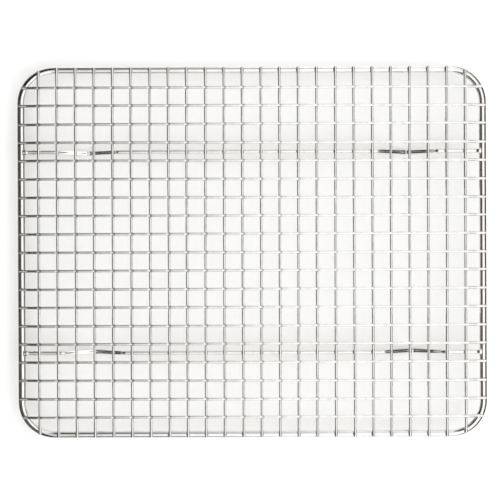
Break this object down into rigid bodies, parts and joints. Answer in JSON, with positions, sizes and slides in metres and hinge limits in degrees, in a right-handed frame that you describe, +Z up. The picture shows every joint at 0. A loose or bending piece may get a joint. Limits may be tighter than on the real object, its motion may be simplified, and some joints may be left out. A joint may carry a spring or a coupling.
{
  "type": "cooling rack",
  "caption": "Rectangular footed cooling rack: a flat welded mesh of thin chrome wires on a rounded perimeter frame of thicker wire, standing on two foot wires bent into V-shaped feet.",
  "frame": {"origin": "on the table, under the middle of the rack's bounding box", "axes": "+X along the long sides, to the right; +Y along the short sides, to the back; +Z up"},
  "size_m": [0.254, 0.2014, 0.019],
  "materials": {
    "frame_wire": "bright chrome plate on steel wire, mirror-like",
    "mesh_wire": "bright chrome plate on drawn steel wire",
    "foot_wire": "bright chrome plate on steel wire, mirror-like"
  },
  "bodies": {
    "root": {"perimeter_frame": "frame_wire", "foot_wire_front": "foot_wire", "foot_wire_rear": "foot_wire", "crosswise_wire_01": "mesh_wire", "crosswise_wire_02": "mesh_wire", "crosswise_wire_03": "mesh_wire", "crosswise_wire_04": "mesh_wire", "crosswise_wire_05": "mesh_wire", "crosswise_wire_06": "mesh_wire", "crosswise_wire_07": "mesh_wire", "crosswise_wire_08": "mesh_wire", "crosswise_wire_09": "mesh_wire", "crosswise_wire_10": "mesh_wire", "crosswise_wire_11": "mesh_wire", "crosswise_wire_12": "mesh_wire", "crosswise_wire_13": "mesh_wire", "crosswise_wire_14": "mesh_wire", "crosswise_wire_15": "mesh_wire", "crosswise_wire_16": "mesh_wire", "crosswise_wire_17": "mesh_wire", "crosswise_wire_18": "mesh_wire", "crosswise_wire_19": "mesh_wire", "crosswise_wire_20": "mesh_wire", "crosswise_wire_21": "mesh_wire", "crosswise_wire_22": "mesh_wire", "crosswise_wire_23": "mesh_wire", "crosswise_wire_24": "mesh_wire", "lengthwise_wire_01": "mesh_wire", "lengthwise_wire_02": "mesh_wire", "lengthwise_wire_03": "mesh_wire", "lengthwise_wire_04": "mesh_wire", "lengthwise_wire_05": "mesh_wire", "lengthwise_wire_06": "mesh_wire", "lengthwise_wire_07": "mesh_wire", "lengthwise_wire_08": "mesh_wire", "lengthwise_wire_09": "mesh_wire", "lengthwise_wire_10": "mesh_wire", "lengthwise_wire_11": "mesh_wire", "lengthwise_wire_12": "mesh_wire", "lengthwise_wire_13": "mesh_wire", "lengthwise_wire_14": "mesh_wire", "lengthwise_wire_15": "mesh_wire", "lengthwise_wire_16": "mesh_wire", "lengthwise_wire_17": "mesh_wire", "lengthwise_wire_18": "mesh_wire", "lengthwise_wire_19": "mesh_wire"}
  },
  "joints": []
}
